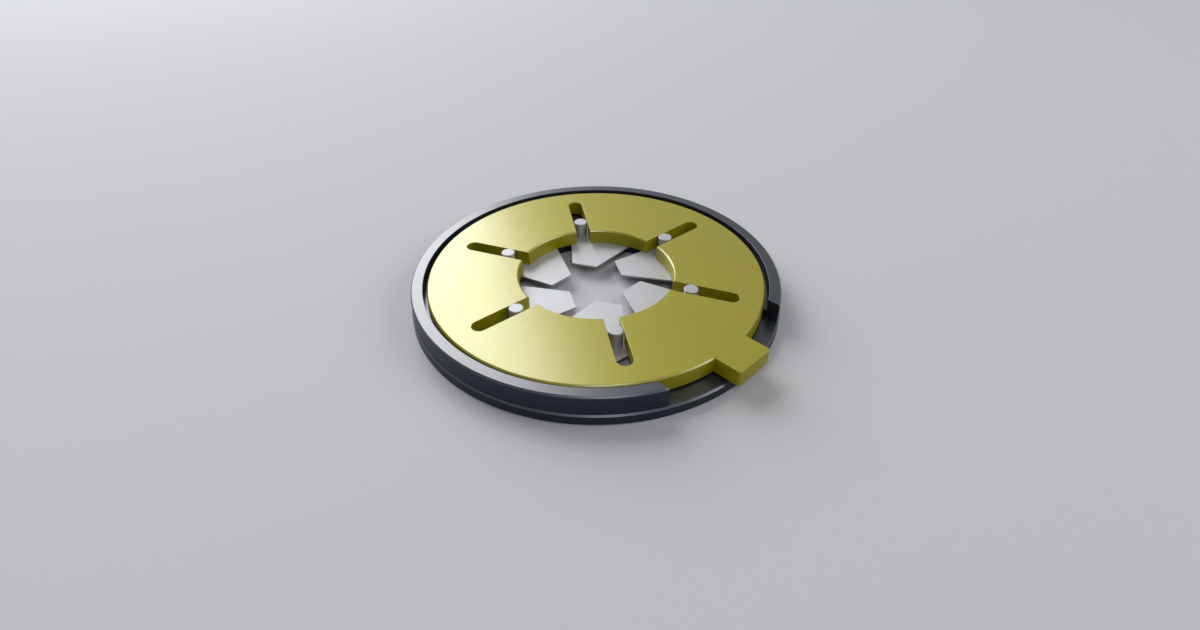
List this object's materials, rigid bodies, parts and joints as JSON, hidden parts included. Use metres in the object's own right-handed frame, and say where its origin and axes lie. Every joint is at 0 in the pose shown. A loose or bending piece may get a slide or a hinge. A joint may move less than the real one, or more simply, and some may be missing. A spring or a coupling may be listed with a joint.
{
  "type": "iris diaphragm",
  "caption": "Iris diaphragm with a brass slotted actuator ring and lever in a slate grey rimmed housing, closed by coplanar silver blades on pins.",
  "frame": {"origin": "centre of the bore at the base plate's back face", "axes": "+Z along the optical axis from the base plate towards the actuator ring; +X along the lever in the stopped-down pose"},
  "size_m": [0.1024, 0.1, 0.0082],
  "materials": {
    "housing": "turned, anodised slate grey, satin",
    "brass": "satin turned brass",
    "blade_steel": "fine brushed, matte",
    "pin_steel": "turned, satin",
    "screw_steel": "turned, satin"
  },
  "bodies": {
    "base": {"base_plate": "housing", "rim_ring": "housing", "rim_screws": "screw_steel"},
    "ring": {"actuator_ring": "brass"},
    "blade_body_1": {"blade_1": "blade_steel", "drive_pin_1": "pin_steel", "pivot_pin_1": "pin_steel"},
    "blade_body_2": {"blade_2": "blade_steel", "drive_pin_2": "pin_steel", "pivot_pin_2": "pin_steel"},
    "blade_body_3": {"blade_3": "blade_steel", "drive_pin_3": "pin_steel", "pivot_pin_3": "pin_steel"},
    "blade_body_4": {"blade_4": "blade_steel", "drive_pin_4": "pin_steel", "pivot_pin_4": "pin_steel"},
    "blade_body_5": {"blade_5": "blade_steel", "drive_pin_5": "pin_steel", "pivot_pin_5": "pin_steel"},
    "blade_body_6": {"blade_6": "blade_steel", "drive_pin_6": "pin_steel", "pivot_pin_6": "pin_steel"}
  },
  "joints": [
    {"name": "lever_turn", "type": "hinge", "parent": "base", "child": "ring", "pos_m": [0, 0, 0.00567], "axis": [0, 0, 1], "range_deg": [-18.5, 2]},
    {"name": "blade_pivot_1", "type": "hinge", "parent": "base", "child": "blade_body_1", "pos_m": [0.0336, 0.01043, 0.00329], "axis": [0, 0, 1], "range_deg": [-5.7, 52.3]},
    {"name": "blade_pivot_2", "type": "hinge", "parent": "base", "child": "blade_body_2", "pos_m": [0.00777, 0.03431, 0.00329], "axis": [0, 0, 1], "range_deg": [-5.7, 52.3]},
    {"name": "blade_pivot_3", "type": "hinge", "parent": "base", "child": "blade_body_3", "pos_m": [-0.02583, 0.02388, 0.00329], "axis": [0, 0, 1], "range_deg": [-5.7, 52.3]},
    {"name": "blade_pivot_4", "type": "hinge", "parent": "base", "child": "blade_body_4", "pos_m": [-0.0336, -0.01043, 0.00329], "axis": [0, 0, 1], "range_deg": [-5.7, 52.3]},
    {"name": "blade_pivot_5", "type": "hinge", "parent": "base", "child": "blade_body_5", "pos_m": [-0.00777, -0.03431, 0.00329], "axis": [0, 0, 1], "range_deg": [-5.7, 52.3]},
    {"name": "blade_pivot_6", "type": "hinge", "parent": "base", "child": "blade_body_6", "pos_m": [0.02583, -0.02388, 0.00329], "axis": [0, 0, 1], "range_deg": [-5.7, 52.3]}
  ],
  "couplings": [
    {"joint": "blade_pivot_1", "follows": "lever_turn", "ratio": -2.82},
    {"joint": "blade_pivot_2", "follows": "lever_turn", "ratio": -2.82},
    {"joint": "blade_pivot_3", "follows": "lever_turn", "ratio": -2.82},
    {"joint": "blade_pivot_4", "follows": "lever_turn", "ratio": -2.82},
    {"joint": "blade_pivot_5", "follows": "lever_turn", "ratio": -2.82},
    {"joint": "blade_pivot_6", "follows": "lever_turn", "ratio": -2.82}
  ]
}
